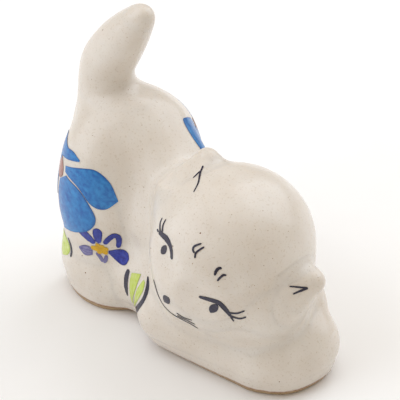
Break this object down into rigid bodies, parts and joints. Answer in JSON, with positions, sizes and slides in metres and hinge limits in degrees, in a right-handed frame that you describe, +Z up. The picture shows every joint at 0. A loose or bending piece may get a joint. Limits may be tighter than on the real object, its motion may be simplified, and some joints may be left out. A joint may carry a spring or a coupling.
{
  "type": "ceramic cat figurine",
  "caption": "Glazed stoneware cat in a playful crouch, head turned to its right, tail up, with brush-painted blue flowers and leaves.",
  "frame": {"origin": "on the table, under the middle of the cat's overall box", "axes": "+Z up; -Y towards the front paws; +Y towards the tail; -X is the cat's right side, which its face looks over"},
  "size_m": [0.0423, 0.0799, 0.083],
  "materials": {
    "glazed_stoneware": "glossy clear glaze over warm off-white stoneware, bare toasted soles",
    "sky_blue_underglaze": "brushed underglaze colour under glossy clear glaze",
    "rust_underglaze": "brushed underglaze colour under glossy clear glaze",
    "cobalt_underglaze": "brushed underglaze colour under glossy clear glaze",
    "yellow_underglaze": "brushed underglaze colour under glossy clear glaze",
    "lime_underglaze": "brushed underglaze colour under glossy clear glaze",
    "ink_underglaze": "fine brush line under glossy clear glaze"
  },
  "bodies": {
    "root": {"trunk": "glazed_stoneware", "head": "glazed_stoneware", "right_ear": "glazed_stoneware", "left_ear": "glazed_stoneware", "tail": "glazed_stoneware", "right_foreleg": "glazed_stoneware", "left_foreleg": "glazed_stoneware", "right_hind_leg": "glazed_stoneware", "left_hind_leg": "glazed_stoneware", "right_flower_petals": "sky_blue_underglaze", "right_flower_centre": "rust_underglaze", "left_flower_petals": "sky_blue_underglaze", "left_flower_centre": "rust_underglaze", "small_flower_petals": "cobalt_underglaze", "small_flower_centre": "yellow_underglaze", "leaves": "lime_underglaze", "leaf_strokes": "ink_underglaze", "eyes": "ink_underglaze", "nose": "ink_underglaze", "mouth": "ink_underglaze", "brow_marks": "ink_underglaze", "ear_marks": "ink_underglaze"}
  },
  "joints": []
}
